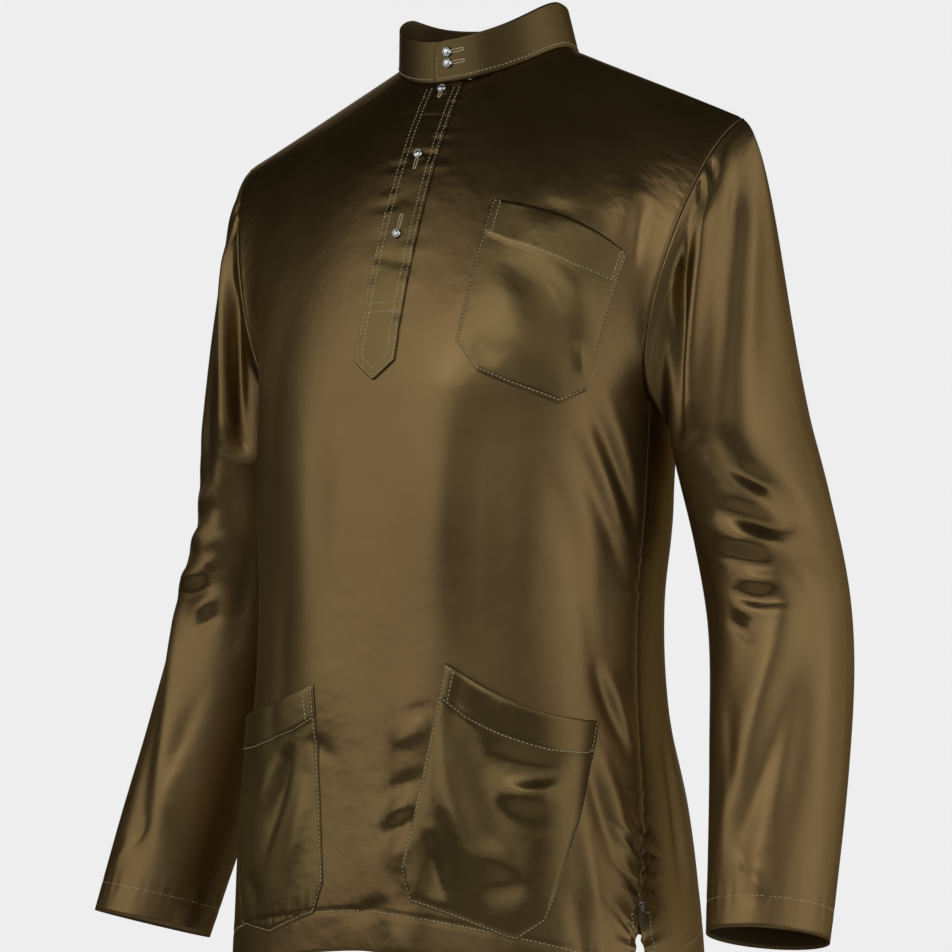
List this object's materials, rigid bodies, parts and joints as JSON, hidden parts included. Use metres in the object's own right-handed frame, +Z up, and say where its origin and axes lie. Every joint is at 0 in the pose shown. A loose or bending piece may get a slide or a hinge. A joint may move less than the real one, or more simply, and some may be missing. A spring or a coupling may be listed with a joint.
{
  "type": "baju melayu tunic",
  "caption": "Long-sleeved satin tunic with a stand collar, studded placket, patch pockets and side vents, in its worn hollow shape.",
  "frame": {"origin": "centre of the neck at the height where the shoulder seams meet the collar", "axes": "+Z up; the front faces -Y; +X is the wearer's left"},
  "size_m": [0.666, 0.2817, 0.7811],
  "materials": {
    "satin": "dark olive brown satin with a soft sheen",
    "thread": "light beige gold topstitching thread",
    "stud_metal": "polished silver-coloured metal",
    "stone": "clear cut stone",
    "zip_metal": "bright zip metal",
    "zip_tape": "dark woven tape"
  },
  "bodies": {
    "tunic": {"front_panel": "satin", "back_panel": "satin", "left_sleeve": "satin", "right_sleeve": "satin", "chest_pocket": "satin", "left_hip_pocket": "satin", "right_hip_pocket": "satin", "collar": "satin", "placket": "satin", "chest_pocket_band": "satin", "left_hip_pocket_band": "satin", "right_hip_pocket_band": "satin", "placket_stud_1": "stud_metal", "placket_stud_2": "stud_metal", "placket_stud_3": "stud_metal", "collar_stud_1": "stud_metal", "collar_stud_2": "stud_metal", "zip_slider": "zip_metal"},
    "pull": {"zip_pull": "zip_metal"}
  },
  "joints": [
    {"name": "pull_tab", "type": "hinge", "parent": "tunic", "child": "pull", "pos_m": [0.18693, -0.07525, -0.66763], "axis": [-0.307, -0.94, 0.1487], "range_deg": [0, 150]}
  ]
}
